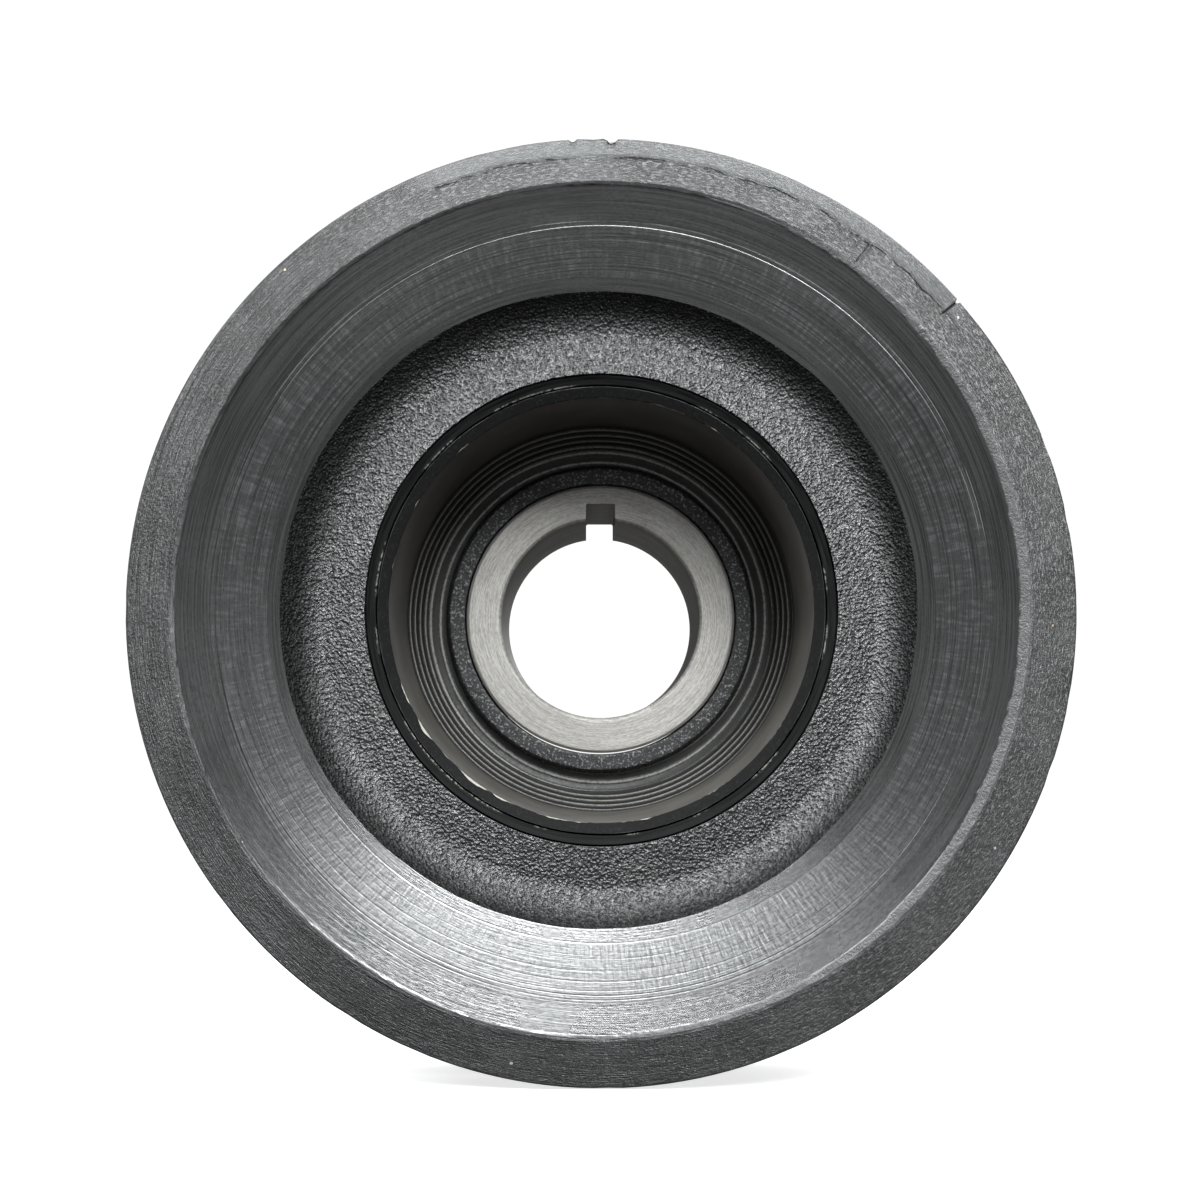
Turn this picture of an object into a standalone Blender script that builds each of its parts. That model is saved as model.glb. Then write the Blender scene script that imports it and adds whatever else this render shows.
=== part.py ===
"""Crankshaft V-belt pulley with a bonded rubber torsion damper.

Four concentric pieces on one spin axis, which is +Y. The front face, where the crankshaft bolt goes in,
looks along -Y. A steel sleeve with a keyway sits on the crankshaft. It is pressed into a cast hub, a rubber
ring is bonded round the hub's deep cup, and the cast pulley ring with its two V-grooves is bonded round
the rubber.

Lengths are in metres. An outline is a loop of corners (radius, y, fillet) in the plane of the axis. The
origin is on the axis, halfway along the bore.
"""

import math

import bmesh
import bpy
from mathutils import Matrix, Vector

FACETS = 72
FILLET_STEPS = 2
GAP = 0.0003
SHARP_ANGLE = math.radians(24)

# Steel sleeve, keyed to the crankshaft
BORE_RADIUS = 0.017
BORE_LENGTH = 0.041
SLEEVE_RADIUS = 0.023
KEY_WIDTH = 0.005
KEY_DEPTH = 0.0029
BORE_CHAMFER = 0.0005
SEAL_LEAD_IN = 0.0012

# Planes across the axis
HUB_FACE_Y = -BORE_LENGTH / 2
SLEEVE_END_Y = BORE_LENGTH / 2
RIM_EDGE_Y = HUB_FACE_Y - 0.034
LIP_Y = RIM_EDGE_Y - 0.0049
RIM_WIDTH = 0.035
RIM_REAR_Y = RIM_EDGE_Y + RIM_WIDTH

# Rubber ring between the hub's cup and the pulley ring
BOND_INNER_RADIUS = 0.0357
BOND_OUTER_RADIUS = 0.0374
BOND_REAR_Y = RIM_REAR_Y - 0.0015
MENISCUS = 0.0003

# Pulley ring
OUTER_RADIUS = 0.075
LIP_RADIUS = 0.0667
CONE_INNER_RADIUS = 0.0502
CONE_INNER_Y = RIM_EDGE_Y - 0.0006
COLLAR_FRONT_Y = RIM_EDGE_Y + 0.0008
TROUGH_DEPTH_HANDLES = (0.0064, 0.0050)
TROUGH_RADIUS_HANDLES = (0.0410, 0.0495)
TROUGH_POINTS = 9
LIP_FILLET = 0.0006
RIM_FRONT_FILLET = 0.0008
RIM_REAR_FILLET = 0.0006

# V-grooves for 13 mm belts
GROOVE_PITCH = 0.015
GROOVE_TOP_WIDTH = 0.013
GROOVE_DEPTH = 0.012
GROOVE_HALF_ANGLE = math.radians(17)
GROOVE_COUNT = 2

# Cast relief behind the web
REAR_FLOOR_Y = RIM_EDGE_Y + 0.015
COLLAR_OUTER_RADIUS = 0.0445
REAR_WALL_RADIUS = 0.0532
DRAFT = 0.0012
CAST_FILLET = 0.003
REAR_EDGE_FILLET = 0.0008

# Cast hub: a deep turned cup round a raw land, and a boss behind it
CUP_MOUTH_RADIUS = 0.03385
CUP_MOUTH_Y = RIM_EDGE_Y + 0.0034
CUP_FOOT = (0.0328, HUB_FACE_Y - 0.0037)
CUP_FOOT_FILLET = 0.002
CUP_FLOOR = (0.0296, HUB_FACE_Y + 0.0025)
CUP_FLOOR_FILLET = 0.003
LAND_RADIUS = 0.0259
LAND_STEP = 0.0006
CUP_REAR_Y = CUP_FLOOR[1] + 0.0065
CUP_REAR_FILLET = 0.0015
BOSS_RADIUS = 0.0285
BOSS_REAR_Y = HUB_FACE_Y + 0.0175
BOSS_FOOT_FILLET = 0.002
BOSS_EDGE_FILLET = 0.001

MATERIALS = {
    "cast_iron_black": ((0.055, 0.057, 0.06), 0.55, 0.35),
    "rubber": ((0.018, 0.018, 0.019), 0.6, 0.0),
    "cast_iron_turned": ((0.13, 0.128, 0.12), 0.45, 0.6),
    "steel": ((0.48, 0.47, 0.45), 0.38, 0.9),
}


def clear_scene():
    for obj in list(bpy.data.objects):
        bpy.data.objects.remove(obj, do_unlink=True)


def material(name):
    colour, roughness, metallic = MATERIALS[name]
    made = bpy.data.materials.new(name)
    made.use_nodes = True
    shader = made.node_tree.nodes["Principled BSDF"]
    shader.inputs["Base Color"].default_value = (*colour, 1.0)
    shader.inputs["Roughness"].default_value = roughness
    shader.inputs["Metallic"].default_value = metallic
    return made


def rounded(corners):
    """The loop of corners (radius, y, fillet) with each fillet as an arc."""
    points = []
    for i, (radius, y, fillet) in enumerate(corners):
        corner = Vector((radius, y))
        if not fillet:
            points.append(corner)
            continue
        before = (Vector(corners[i - 1][:2]) - corner).normalized()
        after = (Vector(corners[(i + 1) % len(corners)][:2]) - corner).normalized()
        half_angle = before.angle(after) / 2
        centre = corner + (before + after).normalized() * fillet / math.sin(half_angle)
        tangent = fillet / math.tan(half_angle)
        start = corner + before * tangent - centre
        end = corner + after * tangent - centre
        turn = start.angle_signed(end)
        for step in range(FILLET_STEPS + 1):
            angle = -turn * step / FILLET_STEPS
            cos, sin = math.cos(angle), math.sin(angle)
            points.append(centre + Vector((start.x * cos - start.y * sin, start.x * sin + start.y * cos)))
    return points


def turned(name, finish, outline):
    """A ring solid: the closed outline of (radius, y) points spun once round the Y axis."""
    shape = bmesh.new()
    loop = [shape.verts.new((point[0], point[1], 0.0)) for point in outline]
    edges = [shape.edges.new((loop[i - 1], loop[i])) for i in range(len(loop))]
    bmesh.ops.spin(
        shape,
        geom=loop + edges,
        cent=(0, 0, 0),
        axis=(0, 1, 0),
        angle=math.tau,
        steps=FACETS,
        use_merge=True,
    )
    bmesh.ops.recalc_face_normals(shape, faces=shape.faces)
    mesh = bpy.data.meshes.new(name)
    shape.to_mesh(mesh)
    shape.free()
    mesh.shade_smooth()
    mesh.set_sharp_from_angle(angle=SHARP_ANGLE)
    mesh.materials.append(material(finish))
    obj = bpy.data.objects.new(name, mesh)
    bpy.context.scene.collection.objects.link(obj)
    return obj


def ledge_y(radius):
    """The front ends of the rubber and of the hub's cup lie on one shallow cone, deeper towards the axis."""
    slope = (CUP_MOUTH_Y - COLLAR_FRONT_Y) / (BOND_OUTER_RADIUS - CUP_MOUTH_RADIUS)
    return COLLAR_FRONT_Y + (BOND_OUTER_RADIUS - radius) * slope


def front_trough():
    """The smooth cast trough between the rubber's collar and the turned cone, from the collar outwards."""
    inner = Vector((BOND_OUTER_RADIUS + GAP / 2, COLLAR_FRONT_Y))
    outer = Vector((CONE_INNER_RADIUS, CONE_INNER_Y))
    handles = [
        Vector((radius, RIM_EDGE_Y + depth))
        for radius, depth in zip(TROUGH_RADIUS_HANDLES, TROUGH_DEPTH_HANDLES)
    ]
    points = []
    for i in range(TROUGH_POINTS):
        t = i / (TROUGH_POINTS - 1)
        s = 1 - t
        points.append(s**3 * inner + 3 * s * s * t * handles[0] + 3 * s * t * t * handles[1] + t**3 * outer)
    return [(point.x, point.y, 0) for point in points]


def belt_grooves():
    """The rim's outer side from front to rear: a V-groove with a flat floor, once for each belt."""
    first = RIM_EDGE_Y + (RIM_WIDTH - GROOVE_PITCH * (GROOVE_COUNT - 1)) / 2
    half_top = GROOVE_TOP_WIDTH / 2
    half_floor = half_top - GROOVE_DEPTH * math.tan(GROOVE_HALF_ANGLE)
    floor_radius = OUTER_RADIUS - GROOVE_DEPTH
    corners = []
    for i in range(GROOVE_COUNT):
        middle = first + i * GROOVE_PITCH
        corners += [
            (OUTER_RADIUS, middle - half_top, 0),
            (floor_radius, middle - half_floor, 0),
            (floor_radius, middle + half_floor, 0),
            (OUTER_RADIUS, middle + half_top, 0),
        ]
    return corners


def rear_relief():
    """The rear face from the rim inwards: flat rim, drafted cast trough, then the collar's flat end."""
    rear_mouth_radius = REAR_WALL_RADIUS + DRAFT * 2
    collar_end_radius = COLLAR_OUTER_RADIUS - DRAFT
    return [
        (OUTER_RADIUS, RIM_REAR_Y, RIM_REAR_FILLET),
        (rear_mouth_radius, RIM_REAR_Y, REAR_EDGE_FILLET),
        (REAR_WALL_RADIUS, REAR_FLOOR_Y, CAST_FILLET),
        (COLLAR_OUTER_RADIUS, REAR_FLOOR_Y, CAST_FILLET),
        (collar_end_radius, BOND_REAR_Y, REAR_EDGE_FILLET),
        (BOND_OUTER_RADIUS + GAP / 2, BOND_REAR_Y, 0),
    ]


def pulley_ring():
    corners = front_trough()
    corners.append((LIP_RADIUS, LIP_Y, LIP_FILLET))
    corners.append((OUTER_RADIUS, RIM_EDGE_Y, RIM_FRONT_FILLET))
    corners += belt_grooves()
    corners += rear_relief()
    turned("pulley_ring", "cast_iron_black", rounded(corners))


def damper_rubber():
    inner = BOND_INNER_RADIUS + GAP / 2
    outer = BOND_OUTER_RADIUS - GAP / 2
    middle = (inner + outer) / 2
    outline = [
        (outer, ledge_y(outer)),
        (outer, BOND_REAR_Y - MENISCUS),
        (middle, BOND_REAR_Y - MENISCUS * 2),
        (inner, BOND_REAR_Y - MENISCUS),
        (inner, ledge_y(inner)),
        (middle, ledge_y(middle) + MENISCUS),
    ]
    turned("damper_rubber", "rubber", outline)


def hub():
    outer = BOND_INNER_RADIUS - GAP / 2
    seat = SLEEVE_RADIUS + GAP
    corners = [
        (outer, ledge_y(outer), 0),
        (outer, CUP_REAR_Y, CUP_REAR_FILLET),
        (BOSS_RADIUS, CUP_REAR_Y, BOSS_FOOT_FILLET),
        (BOSS_RADIUS, BOSS_REAR_Y, BOSS_EDGE_FILLET),
        (seat, BOSS_REAR_Y, 0),
        (seat, HUB_FACE_Y, 0),
        (LAND_RADIUS, HUB_FACE_Y, 0),
        (LAND_RADIUS + LAND_STEP, CUP_FLOOR[1], 0),
        (*CUP_FLOOR, CUP_FLOOR_FILLET),
        (*CUP_FOOT, CUP_FOOT_FILLET),
        (CUP_MOUTH_RADIUS, CUP_MOUTH_Y, 0),
    ]
    turned("hub", "cast_iron_turned", rounded(corners))


def keyway_cutter():
    """A long box through the sleeve's bore, standing up past the top of its wall by the keyway's depth."""
    top = BORE_RADIUS + KEY_DEPTH
    bottom = BORE_RADIUS / 2
    mesh = bpy.data.meshes.new("keyway_cutter")
    shape = bmesh.new()
    size = Matrix.Diagonal((KEY_WIDTH, BORE_LENGTH * 2, top - bottom, 1.0))
    bmesh.ops.create_cube(shape, size=1.0, matrix=size)
    shape.to_mesh(mesh)
    shape.free()
    cutter = bpy.data.objects.new("keyway_cutter", mesh)
    cutter.location = (0, 0, (top + bottom) / 2)
    cutter.hide_render = True
    cutter.display_type = "WIRE"
    bpy.context.scene.collection.objects.link(cutter)
    return cutter


def hub_sleeve():
    chamfer_radius = BORE_RADIUS + BORE_CHAMFER
    lead_in_radius = SLEEVE_RADIUS - SEAL_LEAD_IN / 2
    outline = [
        (BORE_RADIUS, HUB_FACE_Y + BORE_CHAMFER),
        (chamfer_radius, HUB_FACE_Y),
        (SLEEVE_RADIUS - BORE_CHAMFER, HUB_FACE_Y),
        (SLEEVE_RADIUS, HUB_FACE_Y + BORE_CHAMFER),
        (SLEEVE_RADIUS, SLEEVE_END_Y - SEAL_LEAD_IN),
        (lead_in_radius, SLEEVE_END_Y),
        (chamfer_radius, SLEEVE_END_Y),
        (BORE_RADIUS, SLEEVE_END_Y - BORE_CHAMFER),
    ]
    sleeve = turned("hub_sleeve", "steel", outline)
    keyway = sleeve.modifiers.new("keyway", "BOOLEAN")
    keyway.operation = "DIFFERENCE"
    keyway.solver = "EXACT"
    keyway.object = keyway_cutter()


def main():
    clear_scene()
    pulley_ring()
    damper_rubber()
    hub()
    hub_sleeve()


main()
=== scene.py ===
"""Looks for the crankshaft V-belt pulley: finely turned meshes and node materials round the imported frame.

The spin axis is Y, the front face looks along -Y and the keyway points up. Angles run anticlockwise seen from
the front, from +X. Every mesh is a turned outline of (radius, y) rows in metres, spun round the axis, and its
casting grain, cuts and chips are moved vertices or node textures.
"""

import itertools
import math

import bpy
import numpy as np
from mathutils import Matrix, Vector


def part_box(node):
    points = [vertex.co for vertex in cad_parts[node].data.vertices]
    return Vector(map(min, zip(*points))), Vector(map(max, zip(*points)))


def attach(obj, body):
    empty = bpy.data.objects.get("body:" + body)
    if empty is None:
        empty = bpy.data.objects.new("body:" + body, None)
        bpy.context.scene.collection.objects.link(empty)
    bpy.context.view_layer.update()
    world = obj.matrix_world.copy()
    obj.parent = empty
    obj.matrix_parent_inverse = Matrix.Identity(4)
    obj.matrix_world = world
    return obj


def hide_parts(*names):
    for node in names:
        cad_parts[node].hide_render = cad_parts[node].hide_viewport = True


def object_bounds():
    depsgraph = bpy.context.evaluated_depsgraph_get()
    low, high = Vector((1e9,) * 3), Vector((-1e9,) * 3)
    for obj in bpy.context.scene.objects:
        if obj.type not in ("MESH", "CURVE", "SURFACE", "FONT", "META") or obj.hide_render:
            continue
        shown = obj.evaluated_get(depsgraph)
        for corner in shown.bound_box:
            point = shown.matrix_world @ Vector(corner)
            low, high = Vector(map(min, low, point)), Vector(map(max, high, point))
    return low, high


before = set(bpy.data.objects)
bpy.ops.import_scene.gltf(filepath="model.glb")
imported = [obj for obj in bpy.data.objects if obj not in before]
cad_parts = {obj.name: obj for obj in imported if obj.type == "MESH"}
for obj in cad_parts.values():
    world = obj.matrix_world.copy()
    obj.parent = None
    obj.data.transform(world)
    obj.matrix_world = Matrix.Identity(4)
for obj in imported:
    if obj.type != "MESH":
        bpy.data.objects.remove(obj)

CAD_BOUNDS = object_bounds()
MM = 0.001

# Driving sizes. They are the CAD model's, apart from COLLAR_FRONT_Y and the trough, whose shape differs: the
# collar's front is 1.3 mm deeper here, and the trough 0.7 to 1.3 mm shallower from 41 to 50 mm radius.
GAP = 0.3 * MM
BORE_RADIUS = 17.0 * MM
SLEEVE_RADIUS = 23.0 * MM
KEY_WIDTH = 5.0 * MM
KEY_DEPTH = 2.9 * MM
HUB_FACE_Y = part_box("hub_sleeve")[0].y
SLEEVE_END_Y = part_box("hub_sleeve")[1].y
RIM_EDGE_Y = HUB_FACE_Y - 34.0 * MM
RIM_REAR_Y = RIM_EDGE_Y + 35.0 * MM
LIP_Y = RIM_EDGE_Y - 4.9 * MM
BOND_INNER_RADIUS = 35.7 * MM
BOND_OUTER_RADIUS = 37.4 * MM
BOND_REAR_Y = RIM_REAR_Y - 1.5 * MM
COLLAR_FRONT_Y = RIM_EDGE_Y + 2.1 * MM
TROUGH_BED = (44.1 * MM, RIM_EDGE_Y + 3.8 * MM)
TROUGH_BED_FILLET = 2 * MM
TROUGH_BANK = (48.0 * MM, RIM_EDGE_Y + 2.8 * MM)
TROUGH_BANK_FILLET = 8.5 * MM
OUTER_RADIUS = 75.0 * MM
LIP_RADIUS = 66.7 * MM
CONE_INNER_RADIUS = 50.2 * MM
CONE_INNER_Y = RIM_EDGE_Y - 0.6 * MM
CONE_SLOPE = (LIP_Y - CONE_INNER_Y) / (LIP_RADIUS - CONE_INNER_RADIUS)
CUP_MOUTH_RADIUS = 33.85 * MM
CUP_MOUTH_Y = RIM_EDGE_Y + 3.4 * MM
CUP_FOOT = (32.8 * MM, HUB_FACE_Y - 3.7 * MM)
CUP_FLOOR = (29.6 * MM, HUB_FACE_Y + 2.5 * MM)
LAND_RADIUS = 25.9 * MM
BOSS_RADIUS = 28.5 * MM
BOSS_REACH = 17.5 * MM
CUP_FLOOR_THICKNESS = 6.5 * MM
GROOVE_MIDDLES = (RIM_EDGE_Y + 10.0 * MM, RIM_EDGE_Y + 25.0 * MM)
GROOVE_HALF_TOP = 6.5 * MM
GROOVE_DEPTH = 12 * MM
GROOVE_HALF_ANGLE = math.radians(17)
REAR_FLOOR_Y = RIM_EDGE_Y + 15 * MM
REAR_WALL_RADIUS = 53.2 * MM
REAR_MOUTH_RADIUS = 55.6 * MM
COLLAR_OUTER_RADIUS = 44.5 * MM
COLLAR_END_RADIUS = 43.3 * MM

# Mesh fineness
RING_SEGMENTS = 639
HUB_SEGMENTS = 639
SLEEVE_SEGMENTS = 480
COARSE_EVERY = 3


# ---------------------------------------------------------------- turned meshes


def value_noise(points, cell, seed):
    """Smooth random heights from -1 to 1 at the points, about one bump for each cell."""
    scaled = points / cell
    base = np.floor(scaled).astype(np.int64)
    part = scaled - base
    part = part * part * (3 - 2 * part)
    total = np.zeros(points.shape[:-1])
    for corner in itertools.product((0, 1), repeat=3):
        at = base + corner
        mixed = at[..., 0] * 73856093 ^ at[..., 1] * 19349663 ^ at[..., 2] * 83492791 ^ seed * 2654435761
        mixed = (mixed ^ mixed >> 13) * 1274126177
        mixed = mixed ^ mixed >> 16
        height = (mixed & 65535) / 32767.5 - 1
        weight = np.prod(np.where(corner, part, 1 - part), axis=-1)
        total += height * weight
    return total


def smooth(value, low, high):
    t = np.clip((value - low) / (high - low), 0, 1)
    return t * t * (3 - 2 * t)


def bell(value, middle, width):
    return np.exp(-(((value - middle) / width) ** 2))


def turn_from(angle, degrees):
    """How far each angle is from a direction, in degrees from -180 to 180."""
    return (np.degrees(angle) - degrees + 180) % 360 - 180


def fillet_points(before, corner, after, radius, steps):
    corner = Vector(corner)
    if not radius:
        return [corner]
    to_before = (Vector(before) - corner).normalized()
    to_after = (Vector(after) - corner).normalized()
    half_angle = to_before.angle(to_after) / 2
    centre = corner + (to_before + to_after).normalized() * radius / math.sin(half_angle)
    tangent = radius / math.tan(half_angle)
    start = corner + to_before * tangent - centre
    turn = start.angle_signed(corner + to_after * tangent - centre)
    points = []
    for step in range(steps + 1):
        angle = -turn * step / steps
        cos, sin = math.cos(angle), math.sin(angle)
        points.append(centre + Vector((start.x * cos - start.y * sin, start.x * sin + start.y * cos)))
    return points


def turned_rows(corners, steps=3):
    """Rows of a closed outline. A corner is (radius, y, fillet, zone, spacing), the last two for what follows.

    A fillet has at least that many steps, and more where its zone's spacing is fine.
    """
    places = [corner[:2] for corner in corners]
    arcs = []
    for i, corner in enumerate(corners):
        after = places[(i + 1) % len(corners)]
        arc_steps = max(steps, round(corner[2] / corner[4]))
        arcs.append(fillet_points(places[i - 1], places[i], after, corner[2], arc_steps))
    rows, zones = [], []
    for i, arc in enumerate(arcs):
        zone, spacing = corners[i][3:]
        start, end = arc[-1], arcs[(i + 1) % len(arcs)][0]
        count = max(1, round((end - start).length / spacing))
        stretch = arc[:-1] + [start.lerp(end, k / count) for k in range(count)]
        rows += stretch
        zones += [zone] * len(stretch)
    return np.array([tuple(row) for row in rows]), zones


def row_normals(rows):
    """Each row's outward direction across the outline, as (radius, y)."""
    along = np.roll(rows, -1, axis=0) - np.roll(rows, 1, axis=0)
    along /= np.linalg.norm(along, axis=1, keepdims=True)
    return np.stack([along[:, 1], -along[:, 0]], axis=1)


def quads_between(upper, lower):
    """Faces between two rings of vertex numbers. The first may have COARSE_EVERY times more of them."""
    count = len(lower)
    ratio = len(upper) // count
    faces = []
    for j in range(count):
        top = [upper[(j * ratio + k) % len(upper)] for k in range(ratio + 1)]
        faces.append([top[0], lower[j], lower[(j + 1) % count]] + top[:0:-1])
    return faces


def lathe(name, rows, zones, fine_zones, angles, shape):
    """A closed turned mesh. Rows in fine_zones use every angle, and the others one angle in COARSE_EVERY.

    shape(radius, y, angle, normal) gives each vertex's radius and y, and two marks that its material reads.
    """
    normals = row_normals(rows)
    fine = [zone in fine_zones for zone in zones]
    fine = [a or b for a, b in zip(fine, [fine[-1]] + fine[:-1])]
    rings, points, marks = [], [], []
    total = 0
    for row, normal, is_fine in zip(rows, normals, fine):
        angle = angles if is_fine else angles[::COARSE_EVERY]
        flat_radius, flat_y = (np.full(angle.shape, place) for place in row)
        radius, y, mask, line = shape(flat_radius, flat_y, angle, normal)
        points.append(spots(radius, y, angle))
        marks.append(np.stack([mask, line, np.zeros_like(mask)], axis=1))
        rings.append(list(range(total, total + len(angle))))
        total += len(angle)
    faces, slots = [], []
    for i, ring in enumerate(rings):
        after = rings[(i + 1) % len(rings)]
        if len(ring) >= len(after):
            made = quads_between(ring, after)
        else:
            made = [face[::-1] for face in quads_between(after, ring)]
        faces += made
        slots += [zones[i]] * len(made)
    mesh = bpy.data.meshes.new(name)
    mesh.from_pydata(np.concatenate(points).tolist(), [], faces)
    names = list(dict.fromkeys(zones))
    mesh.polygons.foreach_set("material_index", [names.index(slot) for slot in slots])
    attribute = mesh.attributes.new("marks", "FLOAT_VECTOR", "POINT")
    attribute.data.foreach_set("vector", np.concatenate(marks).astype(np.float32).ravel())
    mesh.shade_smooth()
    mesh.set_sharp_from_angle(angle=math.radians(40))
    obj = bpy.data.objects.new(name, mesh)
    bpy.context.scene.collection.objects.link(obj)
    return obj, names


def spots(radius, y, angle):
    return np.stack([radius * np.cos(angle), y, radius * np.sin(angle)], axis=-1)


def casting_grain(points):
    """The height of sand-cast iron under paint: fine pebbles on a low swell."""
    grain = 0.04 * value_noise(points, 0.9 * MM, 1) + 0.06 * value_noise(points, 0.55 * MM, 2)
    return (grain + 0.06 * value_noise(points, 6 * MM, 3)) * MM


def ledge_y(radius):
    slope = (CUP_MOUTH_Y - COLLAR_FRONT_Y) / (BOND_OUTER_RADIUS - CUP_MOUTH_RADIUS)
    return COLLAR_FRONT_Y + (BOND_OUTER_RADIUS - radius) * slope


# ---------------------------------------------------------------- pulley ring

# Angle in degrees, half width in degrees
RADIAL_CUT = (53.6, 0.11)
EDGE_NOTCHES = ((40.8, 0.16), (88.8, 0.5), (93.5, 0.35))
# The casting's parting seam on the rim face, rough inside it and smoother outside, in degrees
SEAM_RADIUS = 71.7 * MM
SEAM_MIDDLE = 76
FAR_FROM_SEAM = -9.0
CONE_EDGE_SHIFT = -0.4
SEAM_HALF = 40
CONE_GROOVES = (52.4, 54.8, 56.6, 58.2, 59.6, 60.3, 61.0)
CONE_GROOVE_DEPTHS = (0.03, 0.016, 0.02, 0.03, 0.024, 0.045, 0.032)


def ring_angles():
    """Angles all round, closer together at the cut and the notches."""
    even = np.linspace(0, math.tau, 20001)
    density = np.ones_like(even)
    for degrees, width in (RADIAL_CUT, *EDGE_NOTCHES):
        density += 5 * bell(turn_from(even, degrees), 0, 0.5 + width)
    share = np.concatenate([[0], np.cumsum((density[1:] + density[:-1]) / 2)])
    wanted = np.arange(RING_SEGMENTS) / RING_SEGMENTS * share[-1]
    return np.interp(wanted, share, even)


def trough_corners():
    """The cast trough: a bed sloping down from the rubber's collar, then a bank curving up to the cone."""
    spacing = 0.42 * MM
    return [
        (BOND_OUTER_RADIUS + GAP / 2, COLLAR_FRONT_Y, 0.1 * MM, "trough", spacing),
        (*TROUGH_BED, TROUGH_BED_FILLET, "trough", spacing),
        (*TROUGH_BANK, TROUGH_BANK_FILLET, "trough", spacing),
    ]


def cone_place(radius, sunk=0.0):
    return radius, CONE_INNER_Y + (radius - CONE_INNER_RADIUS) * CONE_SLOPE + sunk


def cone_corners():
    """The turned cone from its inner edge to the lip, with the tool's deeper grooves as V-notches.

    A guard row stands on each side of a notch, so that its shading stays narrow.
    """
    corners = [
        (CONE_INNER_RADIUS, CONE_INNER_Y, 0, "cone", 0.1 * MM),
        (*cone_place(CONE_INNER_RADIUS + 0.1 * MM), 0, "cone", 0.9 * MM),
    ]
    half_width = 0.09 * MM
    guard = 0.16 * MM
    for radius_mm, depth_mm in zip(CONE_GROOVES, CONE_GROOVE_DEPTHS):
        radius = radius_mm * MM
        corners.append((*cone_place(radius - guard), 0, "cone", 1.0))
        corners.append((*cone_place(radius - half_width), 0, "cone", 1.0))
        corners.append((*cone_place(radius, depth_mm * MM), 0, "cone", 1.0))
        corners.append((*cone_place(radius + half_width), 0, "cone", 1.0))
        corners.append((*cone_place(radius + guard), 0, "cone", 1.6 * MM))
    corners.append((*cone_place(LIP_RADIUS - 2.0 * MM), 0, "cone", 0.25 * MM))
    corners.append((LIP_RADIUS, LIP_Y, 0.3 * MM, "rim", 0.45 * MM))
    return corners


def groove_corners():
    half_top = GROOVE_HALF_TOP
    half_floor = half_top - GROOVE_DEPTH * math.tan(GROOVE_HALF_ANGLE)
    floor = OUTER_RADIUS - GROOVE_DEPTH
    corners = []
    for middle in GROOVE_MIDDLES:
        corners.append((OUTER_RADIUS, middle - half_top, 0.5 * MM, "groove", 4 * MM))
        corners.append((floor, middle - half_floor, 0.6 * MM, "groove", 4 * MM))
        corners.append((floor, middle + half_floor, 0.6 * MM, "groove", 4 * MM))
        corners.append((OUTER_RADIUS, middle + half_top, 0.5 * MM, "groove", 4 * MM))
    return corners


def ring_corners():
    corners = trough_corners() + cone_corners()
    corners.append((OUTER_RADIUS, RIM_EDGE_Y, 0.6 * MM, "groove", 0.7 * MM))
    corners += groove_corners()
    corners.append((OUTER_RADIUS, RIM_REAR_Y, 0.5 * MM, "rear_turned", 5 * MM))
    corners.append((REAR_MOUTH_RADIUS, RIM_REAR_Y, 0.8 * MM, "rear_cast", 1.0 * MM))
    corners.append((REAR_WALL_RADIUS, REAR_FLOOR_Y, 3 * MM, "rear_cast", 1.0 * MM))
    corners.append((COLLAR_OUTER_RADIUS, REAR_FLOOR_Y, 3 * MM, "rear_cast", 1.0 * MM))
    corners.append((COLLAR_END_RADIUS, BOND_REAR_Y, 0.8 * MM, "rear_turned", 2 * MM))
    corners.append((BOND_OUTER_RADIUS + GAP / 2, BOND_REAR_Y, 0.3 * MM, "bond", 12 * MM))
    return corners


def cast_band_width(angle):
    """The raw casting left on the lip: none at the left, about 1.5 mm wide at the right."""
    return (0.25 + 1.35 * np.clip(np.cos(angle + math.radians(10)), 0, 1)) * MM


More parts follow.
